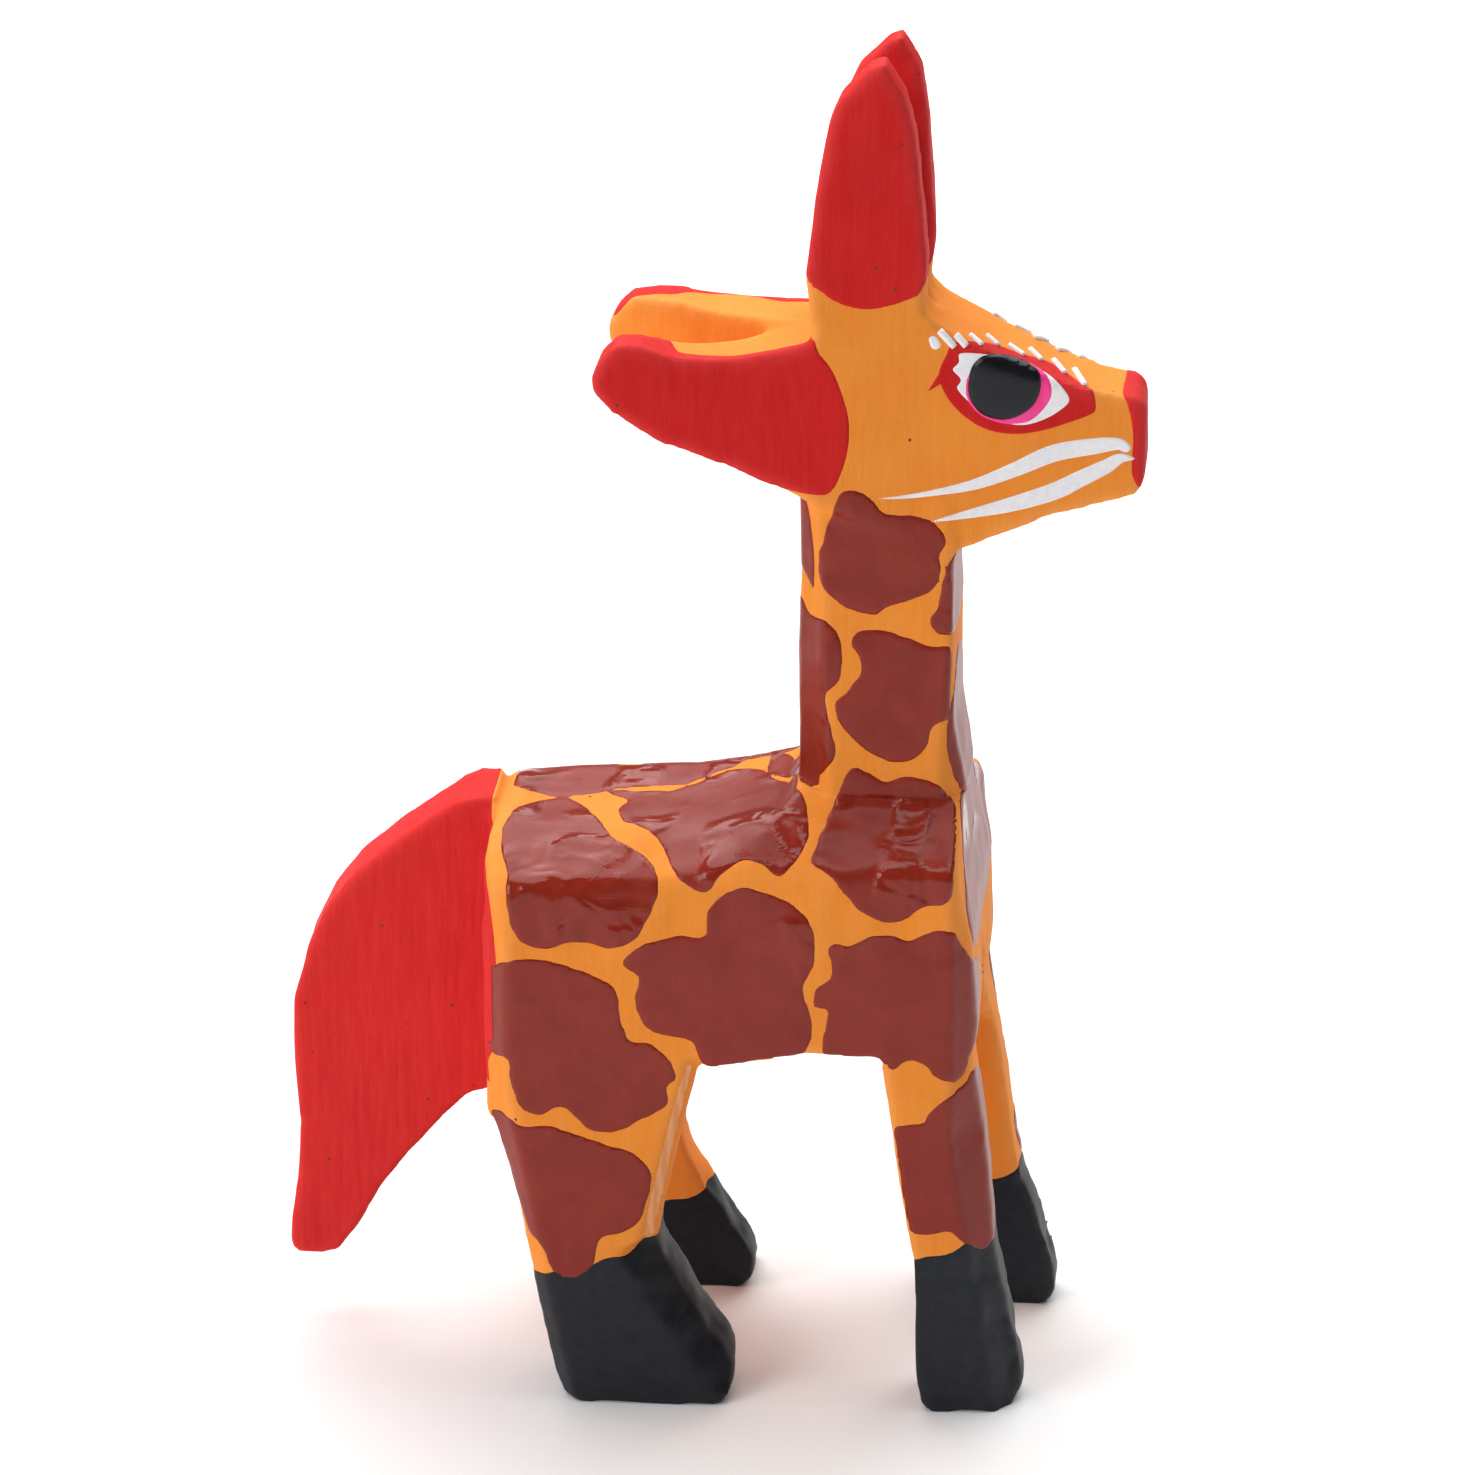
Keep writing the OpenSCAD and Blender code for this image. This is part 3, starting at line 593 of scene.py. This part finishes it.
BODY_SPOTS = {
    "shoulder": [(14, 64), (15.4, 63.8), (17, 63.1), (19, 63.6), (21.2, 63.1), (23, 61.3),
                 (23.3, 58.5), (23.1, 55), (22.6, 51.8), (20.4, 51.2), (19, 50), (17.2, 49.5),
                 (15.2, 50.3), (13.6, 52), (12.6, 53.5), (10.7, 54.9), (11.2, 57), (12.5, 60.5)],
    "saddle": [(-7, 61), (-2, 61.2), (1, 62.2), (3.6, 63.5), (6.2, 63.6), (7.6, 62.8),
               (9.3, 62.2), (10.3, 60.2), (10.3, 57), (9.3, 55), (7.9, 53.5), (6.3, 54.6),
               (4.6, 54.8), (2.9, 53.4), (1.6, 51.7), (0, 52.1), (-1.3, 53.5), (-2.4, 56.2),
               (-3.8, 57.5), (-5.6, 58.1), (-6, 59.2), (-5.3, 60.1)],
    "top_of_the_back": [(-16, 61.6), (-15.5, 64), (-12, 66), (-4, 66.5), (4, 66.5), (5, 64.5),
                        (2.6, 63.2), (0.9, 62.4), (-0.8, 61.8), (-5.2, 61.4), (-8.2, 60.6),
                        (-11.6, 60.2), (-15, 61)],
    "behind_the_neck": [(7, 63.4), (8.6, 63), (9.4, 63.8), (8.8, 65.2), (7.2, 65)],
    "rump": [(-11.7, 60), (-9.8, 59.9), (-7.8, 58.3), (-6.5, 56.5), (-4.6, 55.5), (-3.1, 54),
             (-2.6, 52), (-3.2, 49.5), (-4.7, 46.8), (-6.8, 45.7), (-9, 46.2), (-10.6, 46.1),
             (-12.4, 45.4), (-14.5, 45.8), (-15.6, 47.6), (-16, 50.5), (-15.8, 52.6),
             (-16.3, 54.6), (-16.1, 57), (-14.8, 59)],
    "flank": [(4.5, 52.3), (6.1, 52), (8.5, 51.2), (10.3, 49.6), (11, 47.5), (10.9, 45),
              (10, 42.7), (10.8, 39.6), (10.6, 37.4), (9.6, 36), (7, 35.7), (4.5, 35.1),
              (2.2, 34.5), (1, 35.2), (0.3, 37), (-2, 37.5), (-3.8, 38.2), (-4.8, 40.8),
              (-4.4, 43), (-5.8, 44.4), (-4, 46.3), (-0.9, 47.3), (1.3, 47.4), (1.7, 49.8),
              (2.7, 51.2)],
    "chest": [(12.2, 47), (14.2, 47.2), (16.1, 48.2), (17.9, 48.3), (19.1, 47.9), (21.3, 48.9),
              (23.1, 48.9), (25, 47.2), (28.5, 44.5), (33, 42.5), (32.5, 38), (27, 34.9),
              (23.2, 34.2), (21.7, 34.7), (20.5, 35.9), (19, 36.1), (18, 35.2), (16.6, 36),
              (14, 36.2), (11.9, 36.3), (11.8, 38.3), (12.2, 40.6), (11, 41.1), (11.1, 42.6),
              (12.5, 44.3)],
    "hip": [(-18.5, 43.2), (-15.2, 44.2), (-13, 44.4), (-10.2, 43.7), (-7.8, 42.8),
            (-6.3, 41.6), (-6, 39), (-5.1, 36.8), (-3.5, 36.6), (-2, 35.4), (-1.1, 33.4),
            (-1.9, 32.4), (-2, 30.6), (-4.5, 28.9), (-6.7, 27.6), (-8.9, 27.9), (-11.3, 29.9),
            (-13.2, 29), (-15, 29.7), (-15.9, 32.5), (-16.1, 34.4), (-18.5, 35), (-21, 38),
            (-20.5, 42)],
    "hind_leg": [(-14.8, 27.8), (-12.6, 28), (-9.5, 27.1), (-7, 26.2), (-5, 25.7), (-3.6, 24.2),
                 (-3.4, 22.5), (-4.3, 19.2), (-5.7, 17.7), (-8, 16.9), (-8.5, 14.5),
                 (-9.7, 12.9), (-11.2, 12.5), (-12.4, 13.5), (-13.4, 16), (-15.5, 18),
                 (-18, 23), (-19, 28), (-17, 29.2)],
    "foreleg": [(18, 29.5), (20.5, 30), (21.2, 31.2), (23, 32.9), (25.6, 33.6), (31, 33),
                (37, 28), (37, 20), (32, 16.5), (26.5, 17.2), (25.4, 17.5), (24.4, 18.2),
                (23.1, 19.3), (21, 18.9), (19.3, 19.4), (18.7, 22.5), (18.3, 26)],
    "breast": [(32, 61), (31.3, 59), (30.6, 55), (29, 51), (28.4, 48), (29.5, 45.5), (33, 44),
               (40, 43.5), (50, 44), (57, 48), (57, 58), (50, 61), (40, 62)],
    "far_knee": [(51, 34), (53.5, 35.5), (60, 34), (60, 28), (54, 28), (52, 30.5)],
    "far_shin": [(53.5, 18.5), (60, 20), (60, 13.5), (55, 14), (53.2, 16)],
}

# Parts of the head on its own plane, 5 from the middle
HEAD_PLANE = 5.0
EAR_RED = [(-10.6, 96.5), (-9.3, 98), (-7.4, 99.4), (-4.9, 99.5), (-2.6, 98.6), (0.1, 98),
           (2.8, 97.9), (5.6, 98.3), (7.8, 98.7), (9.3, 99.2), (11.1, 97.6), (12.2, 95.2),
           (12.9, 92.4), (12.8, 89.8), (12.1, 87.2), (11.2, 85.7), (9.8, 85.5), (7.2, 86),
           (4.2, 86.8), (2, 87.6), (-0.8, 88.2), (-3.2, 89.2), (-5.9, 91), (-8, 92),
           (-9.6, 94.4)]
HORN_FOOT = [(8, 105.6), (10.2, 104.6), (11.2, 103.8), (12.6, 103.1), (14.5, 102.8), (16.5, 103.2),
             (18.5, 104), (20, 104.6), (23, 105.4)]
NOSE_REAR = [(86, 37.9), (88, 36.9), (91.6, 36.9), (94.5, 36.3), (95.8, 35.2), (98, 34.8)]
EYE_RED = [(21, 98.6), (21.7, 99.8), (24.5, 99.9), (27.2, 99.1), (29.9, 98.3), (32.7, 96.4),
           (33.5, 95.9), (33.8, 94.4), (33.4, 93.7), (31.4, 92.8), (29.2, 92), (26.9, 91.6),
           (24.6, 91.9), (22.8, 92.9), (21.4, 94.3), (20.6, 95.8), (20.4, 97)]
EYE_SPIKE = [(21.6, 97.4, 1.6), (20.4, 96.2, 0.7), (19.5, 95.2, 0.1)]
EYE_WHITE = [(22.2, 98.9), (24.5, 98.9), (26.8, 98.5), (28.8, 97.8), (30.4, 96.7), (31.6, 95.1),
             (30.9, 94), (29.2, 92.9), (27.3, 92.4), (24.8, 92.9), (22.9, 94.4), (21.9, 95.6),
             (22.2, 96.4), (21.5, 97.3), (22, 98)]
EYE_PINK = [(23, 97.2), (24.6, 98.8), (27, 98.6), (28.9, 97.8), (29.9, 96.7), (30.1, 95.3),
            (29.3, 93.8), (28, 92.7), (26, 92.5), (24, 93.2), (22.8, 94.6), (22.6, 96)]
PUPIL_RING = [(22.9, 96.3), (23.4, 98), (24.6, 98.8), (26.8, 98.6), (28.7, 97.6), (29.1, 96.1),
              (28.6, 94.5), (27.4, 93.4), (25.9, 92.9), (24.2, 93.3), (23.1, 94.6)]
MOUTH_UPPER = [(15, 85.1, 0.1), (17.5, 85.4, 0.35), (20.1, 85.9, 0.6), (23.5, 86.8, 1.0),
               (26.9, 88.3, 1.35), (30.3, 90, 1.6), (33.7, 90.8, 1.5), (35.7, 91.1, 1.1),
               (36.4, 90.8, 0.9)]
MOUTH_LOWER = [(20, 83.2, 0.2), (23.6, 84.2, 0.9), (27, 85.2, 1.4), (30.4, 86.5, 1.6),
               (32.7, 87.8, 1.5), (34.8, 89, 1.3), (36, 89.8, 0.9), (37.4, 89.8, 0.1)]
# Lashes: where each stroke starts and ends
LASHES = [((20.4, 100.8), (21.7, 99.4)), ((21.8, 100.5), (22.7, 99.5)),
          ((23, 100.5), (24, 99.6)), ((24.4, 100.5), (25.4, 99.6)), ((26.3, 99.7), (27.6, 98.8)),
          ((28.1, 99.4), (29.1, 98.4)), ((30.1, 98.5), (31.1, 97.3)),
          ((31.9, 97.7), (32.8, 96.3))]
LASH_DOT = [(19.9, 99.9, 0.8), (20.1, 99.5, 0.9)]
LEFT_EYE_DROP = 1.2      # the left eye is painted this much lower

# The tops of the hooves: (x, z) at the middle of each, and how steeply they rise forwards
HOOF_TOPS = {"right_hind": (-9, 14.2, 0.31), "right_front": (23.5, 16.8, 0.43),
             "left_hind": (-5, 8.6, 0.4), "left_front": (24, 12.2, 0.5)}


def smooth_edge(values, points):
    """A smooth curve through (place, value) points, read at values."""
    line = smooth_line(points)
    return np.interp(values, line[:, 0], line[:, 1])


def brush_reach(skin, side):
    """How well the painter's brush reaches each point from one side: above 0 where it does. The
    legs' inner faces stay bare, and from the right the whole chest is reached. The numbers are
    how far a face turns each way, as parts of its unit normal."""
    _, y, z = skin.co.T
    ahead, _, upward = skin.facing.T
    outward = side * skin.facing[:, 1]
    turned = abs(ahead) if side < 0 else -ahead
    reach = np.maximum(np.maximum(turned, upward) - 0.45, outward - 0.25)
    reach = np.minimum(reach, outward + 0.4)
    if side > 0:
        return np.where(z > SEAT_Z, outward - 0.4, reach)
    return np.where((y > HALFWAY) & (z < SEAT_Z), np.minimum(reach, ahead - 0.85), reach)


def spotted(skin):
    """How deep in a brown spot each point of a skin lies. The red round the tail stays clear of
    brown, and the spots' edges waver as a loaded brush does."""
    depth = np.full(len(skin.co), -9.0)
    x, y, z = skin.co.T
    ahead = skin.facing[:, 0]
    for side in (-1, 1):
        reach = brush_reach(skin, side)
        mine = (y < HALFWAY) | (ahead > 0.55) if side < 0 else (y > HALFWAY) & (ahead < 0.55)
        mine = (mine | (z > SEAT_Z)) & (reach > -0.3)
        on_neck, on_body = z > SEAT_Z, z < SEAT_Z + 4
        for spots, plane, place in ((NECK_SPOTS, NECK_PLANE, on_neck),
                                    (BODY_SPOTS, BODY_PLANE, on_body)):
            uv = np.full((len(skin.co), 2), OFF_THE_PLANE)
            here = mine & place
            uv[here] = seen(skin.co[here], skin.facing[here], side, plane)
            if side > 0:
                uv[here] += left_shift(uv[here])
            for outline in spots.values():
                depth = np.maximum(depth, np.minimum(within(uv, outline), 2 * reach))
    depth += 0.07 * lumps(skin.co, 1.1, 7)
    return np.where((x < RUMP_X + 0.8) & (z > 35.5), -9, depth)


def rumped(skin):
    """How deep in the red that runs from the tail onto the rump's rear edges each point lies."""
    x, y, z = skin.co.T
    edge = RUMP_X + 0.5 + 0.8 * step(z, 33, 36) - 1.6 * step(z, 46, 54) + 0.1 * np.sin(0.9 * z)
    return np.minimum(edge - x, z - 31 - 0.2 * np.sin(2 * y))


def bared(skin):
    """How deep in the unpainted strip down the front edge of the right hind leg each point is."""
    uv = seen(skin.co, skin.nor, -1, BODY_PLANE)
    strip = [(0.1, 34.4, 0.8), (-0.7, 31, 1.2), (-1.8, 26, 1.3), (-2.8, 20.5, 1.7),
             (-3.3, 17.5, 1.3), (-3.7, 16, 0.3)]
    return np.where(skin.co[:, 1] < -4, along_stroke(uv, strip), -9)


def left_shift(uv):
    """The left side was painted freehand too, so its spots sit a little differently."""
    u, v = uv.T
    return np.stack([1.1 * np.sin(v / 6.5 + 0.8), 1.0 * np.sin(u / 7.5 + 2.0)], 1)


def hoofed(skin):
    """How deep in the black of a hoof each point of the torso's skin lies."""
    x, y, z = skin.co.T
    depth = np.full(len(skin.co), -9.0)
    for name, (middle, top, slope) in HOOF_TOPS.items():
        leg = (y < 1) if name.startswith("right") else (y >= 1)
        leg &= (x < 10) if name.endswith("hind") else (x >= 10)
        level = top + slope * (x - middle) + 0.25 * np.sin(1.3 * x + y)
        depth = np.where(leg, level - z, depth)
    return depth


def reddened(skin):
    """How deep in the red of an ear, a horn or the nose each point of the head lies."""
    x, y, z = skin.co.T
    horn = z - smooth_edge(x, HORN_FOOT)
    horn -= 0.6 * step(abs(skin.facing[:, 0]), 0.5, 0.8)
    nose = x - smooth_edge(z, NOSE_REAR)
    depth = np.maximum(np.where(z > 100, horn, -9), np.where(x > 30, nose, -9))
    for side in (-1, 1):
        uv = seen(skin.co, skin.facing, side, HEAD_PLANE)
        outward, upward = side * skin.facing[:, 1], skin.facing[:, 2]
        tip = step(-x, 1.5, 3) * 2.6 if side < 0 else 0.7
        rim = np.minimum(side * y - 5.2 + tip, 3 * (upward - 0.4))
        outer = np.maximum(np.maximum(outward - 0.25, -0.5 - upward) * 3, rim)
        lifted = 1.2 * step(upward, 0, 0.3)
        ear = within(uv - np.stack([0 * lifted, lifted], 1), EAR_RED)
        ear = np.where((side * y > 0.5) & (x < 16), np.minimum(ear, outer), -9)
        depth = np.maximum(depth, ear)
    return depth


def paint_head(head):
    """Red ears, horns and nose, brown spots, the two eyes and the mouth."""
    painted("red_ears_horns_and_nose", head, reddened(head), FILMS["red"], RED,
            "red_paint_on_wood")
    painted("neck_spots", head, spotted(head), FILMS["brown"], BROWN, None, rim=0.25)
    for side, word in ((-1, "right"), (1, "left")):
        low = np.array([14, -9 if side < 0 else 0.4, 82])
        high = np.array([MUZZLE_X + 1, -0.4 if side < 0 else 9, 102])
        patch = finer(head, low, high, 2)
        flat = np.zeros_like(patch.nor)
        uv = seen(patch.co, flat, side, HEAD_PLANE - 0.7)
        uv[:, 1] += LEFT_EYE_DROP * (side > 0)
        strokes = np.maximum(along_stroke(uv, MOUTH_UPPER), along_stroke(uv, MOUTH_LOWER))
        strokes = np.minimum(strokes, 3 * (side * patch.nor[:, 1] - 0.3))
        red = np.maximum(within(uv, EYE_RED), along_stroke(uv, EYE_SPIKE))
        painted(f"{word}_eye_surround", patch, red, FILMS["red"], RED, "red_paint_on_wood",
                rim=0.2)
        white = np.maximum(within(uv, EYE_WHITE), along_stroke(uv, LASH_DOT))
        painted(f"{word}_eye_white", patch, white, FILMS["white"], WHITE, None, rim=0.2)
        painted(f"{word}_eye_pink", patch, within(uv, EYE_PINK), FILMS["pink"], PINK, None,
                rim=0.2)
        painted(f"{word}_pupil_drop", patch, within(uv, PUPIL_RING), None, PUPIL,
                "black_enamel", rise=drop_height, stands_for=(f"{word}_pupil",))
        painted(f"{word}_mouth_strokes", patch, strokes, FILMS["white"], WHITE, None, rim=0.2)


def drop_height(deep):
    """The domed height of a pupil's drop of enamel at a depth in from its rim."""
    t = np.clip(deep / 2.6, 0, 1)
    return 0.12 + 0.5 * np.sqrt(1 - (1 - t) ** 2) * step(deep, 0, 0.25)


def lay_on(tree, point, side):
    """Where the painter's line through a point of the head's plane meets the wood."""
    flip = np.array([1, -side, 1])
    drop = LEFT_EYE_DROP * (side > 0)
    aim = np.array([point[0], -(HEAD_PLANE - 0.7), point[1] - drop])
    start = STATION * flip
    way = Vector((aim - STATION) * flip).normalized()
    return tree.ray_cast(Vector(start), way)[0]


def paint_lashes(head):
    """Short white strokes above each eye, made by Geometry Nodes from one edge for each."""
    touch = BVHTree.FromPolygons(head.co.tolist(), head.tri.tolist())
    verts, edges = [], []
    for side in (-1, 1):
        for a, b in LASHES:
            for share in (0, 0.5, 1):
                point = (a[0] + (b[0] - a[0]) * share, a[1] + (b[1] - a[1]) * share)
                verts.append(list(lay_on(touch, point, side)))
            edges += [(len(verts) - 3, len(verts) - 2), (len(verts) - 2, len(verts) - 1)]
    mesh = bpy.data.meshes.new("lash_lines")
    mesh.from_pydata((np.array(verts) * MM).tolist(), edges, [])
    obj = bpy.data.objects.new("lash_lines", mesh)
    bpy.context.scene.collection.objects.link(obj)
    tree = bpy.data.node_groups.new("lash_strokes", "GeometryNodeTree")
    tree.interface.new_socket("Geometry", in_out="INPUT", socket_type="NodeSocketGeometry")
    width = tree.interface.new_socket("Width", in_out="INPUT", socket_type="NodeSocketFloat")
    tree.interface.new_socket("Geometry", in_out="OUTPUT", socket_type="NodeSocketGeometry")
    given = add(tree, "NodeGroupInput")
    line = add(tree, "GeometryNodeMeshToCurve", {"Mesh": given.outputs["Geometry"]})
    line = add(tree, "GeometryNodeResampleCurve", {"Curve": line.outputs[0], "Count": 7})
    place = add(tree, "GeometryNodeSplineParameter")
    plump = add(tree, "ShaderNodeMapRange", {"Value": place.outputs["Factor"], "From Min": 0.0,
                                             "From Max": 0.5, "To Min": 0.55, "To Max": 1.0})
    line = add(tree, "GeometryNodeSetCurveRadius", {"Curve": line.outputs[0],
                                                    "Radius": plump.outputs[0]})
    ring = add(tree, "GeometryNodeCurvePrimitiveCircle", {"Resolution": 10,
                                                          "Radius": given.outputs["Width"]})
    tube = add(tree, "GeometryNodeCurveToMesh", {"Curve": line.outputs[0], "Fill Caps": True,
                                                 "Profile Curve": ring.outputs[0]})
    real = add(tree, "GeometryNodeRealizeInstances", {"Geometry": tube.outputs[0]})
    dressed = add(tree, "GeometryNodeSetMaterial", {"Geometry": real.outputs[0],
                                                    "Material": WHITE})
    add(tree, "NodeGroupOutput", {"Geometry": dressed.outputs[0]})
    strokes = obj.modifiers.new("strokes", "NODES")
    strokes.node_group = tree
    strokes[width.identifier] = LASH_RADIUS * MM
    graph = bpy.context.evaluated_depsgraph_get()
    made = bpy.data.meshes.new_from_object(obj.evaluated_get(graph))
    co, tri, _ = arrays(made, 1 / MM)
    bpy.data.objects.remove(obj)
    finish_piece("white_lashes", co, tri.tolist(), WHITE)


def pooled(skin):
    """Where the brown enamel pooled and stayed wet: round the fold at the top of each flank, at
    the foot of the neck and in patches on the back."""
    x, y, z = skin.co.T
    fold = step(z, 43.5, 47) * step(-z, -57, -53) * step(abs(y), 7, 9.5)
    patches = step(lumps(skin.co, 6.0, 5), -0.25, 0.35)
    back = step(z, 50, 53) * step(lumps(skin.co, 4.0, 6), 0.0, 0.5)
    return np.clip(fold * patches + 0.8 * back, 0, 1)


def paint_torso(torso):
    """Red round the tail's root, brown spots and black hooves."""
    painted("red_round_the_tail", torso, rumped(torso), FILMS["tail_red"], TAIL_RED,
            "red_paint_on_wood")
    painted("black_hooves", torso, hoofed(torso), FILMS["hoof"], HOOF, "black_enamel")
    painted("bare_strip", torso, bared(torso), FILMS["bare"], SAWN, "bare_wood",
            rim=0.15)
    torso.mark = pooled(torso)
    painted("body_spots", torso, spotted(torso), FILMS["brown"], BROWN, None, rim=0.25)


# ---- Studio ----------------------------------------------------------------------

def sweep_card(name, main):
    """Matte white card. The eye sees a plain pale floor that fades into the bright backdrop
    between 0.2 and 0.6 m away from the giraffe."""
    material, tree, mm = blank(name)
    path = add(tree, "ShaderNodeLightPath")
    away = add(tree, "ShaderNodeVectorMath", {0: mm}, operation="LENGTH")
    fade = add(tree, "ShaderNodeMapRange", {"Value": away.outputs["Value"], "From Min": 200.0,
                                            "From Max": 600.0}, interpolation_type="SMOOTHSTEP")
    glow = add(tree, "ShaderNodeMath", {0: fade.outputs[0], 1: path.outputs["Is Camera Ray"]},
               operation="MULTIPLY")
    done(tree, Base_Color=linear(main), Roughness=0.9, Emission_Color=(1, 1, 1, 1),
         Emission_Strength=glow.outputs[0])
    return material


def studio():
    """A pale floor under soft light, and the camera."""
    verts = [(-2000, -2000, 0), (2000, -2000, 0), (2000, 2000, 0), (-2000, 2000, 0)]
    floor = plain_mesh("floor", verts, [(0, 1, 2, 3)])
    floor.data.materials.append(sweep_card("pale_floor", "#f4f4f4"))
    world = bpy.data.worlds.new("studio")
    bpy.context.scene.world = world
    world.use_nodes = True
    tree = world.node_tree
    tree.nodes.clear()
    path = add(tree, "ShaderNodeLightPath")
    bright = add(tree, "ShaderNodeMapRange", {"Value": path.outputs["Is Camera Ray"],
                                              "To Min": 0.12, "To Max": 1.0})
    sky = add(tree, "ShaderNodeBackground", {"Color": (1, 1, 1, 1),
                                             "Strength": bright.outputs[0]})
    add(tree, "ShaderNodeOutputWorld", {"Surface": sky.outputs[0]})
    lamp("overhead", (-0.05, 0.36, 0.8), 1.3, 17.2)
    lamp("side_fill", (-0.8, -0.62, 0.5), 0.6, 6.3)
    camera = bpy.data.cameras.new("camera")
    camera.lens = 166.7
    camera.sensor_width = 36
    camera.clip_start = 0.05
    obj = bpy.data.objects.new("camera", camera)
    bpy.context.scene.collection.objects.link(obj)
    obj.location = Vector(STATION) * MM
    aim = Vector((0.0028, 0, 0.060))
    obj.rotation_euler = (aim - obj.location).to_track_quat("-Z", "Y").to_euler()
    bpy.context.scene.camera = obj
    bpy.context.scene.view_settings.view_transform = "Standard"


def lamp(name, place, size, power):
    """A square soft box aimed at the middle of the giraffe."""
    light = bpy.data.lights.new(name, "AREA")
    light.size = size
    light.energy = power
    obj = bpy.data.objects.new(name, light)
    bpy.context.scene.collection.objects.link(obj)
    obj.location = place
    aim = Vector((0, 0, 0.06)) - obj.location
    obj.rotation_euler = aim.to_track_quat("-Z", "Y").to_euler()


# ---- The giraffe -----------------------------------------------------------------

def wooden(name, mesh, material):
    """A piece of the carved skin as a finished piece that stands for its CAD node."""
    co, tri, edge = arrays(mesh)
    skin = Skin(co, tri, edge)
    finish_piece(name + "_wood", co, tri.tolist(), material, skin.mark, (name,))
    return skin


block = whittled()
above = (0, 0, SEAT_Z + SEAM)
behind = (RUMP_X - SEAM, 0, 0)
below = cut_off(block, above, (0, 0, 1))
head_skin = wooden("neck_and_head", cut_off(block, above, (0, 0, -1)), ORANGE)
torso_skin = wooden("torso", cut_off(below, behind, (-1, 0, 0)), ORANGE)
tail_skin = wooden("tail", cut_off(below, behind, (1, 0, 0)), TAIL_RED)
paint_head(head_skin)
paint_lashes(head_skin)
paint_torso(torso_skin)
for dowel in ("front_neck_dowel", "rear_neck_dowel", "upper_tail_dowel", "lower_tail_dowel"):
    NODES[dowel].data.materials.clear()
    NODES[dowel].data.materials.append(DOWEL)
studio()
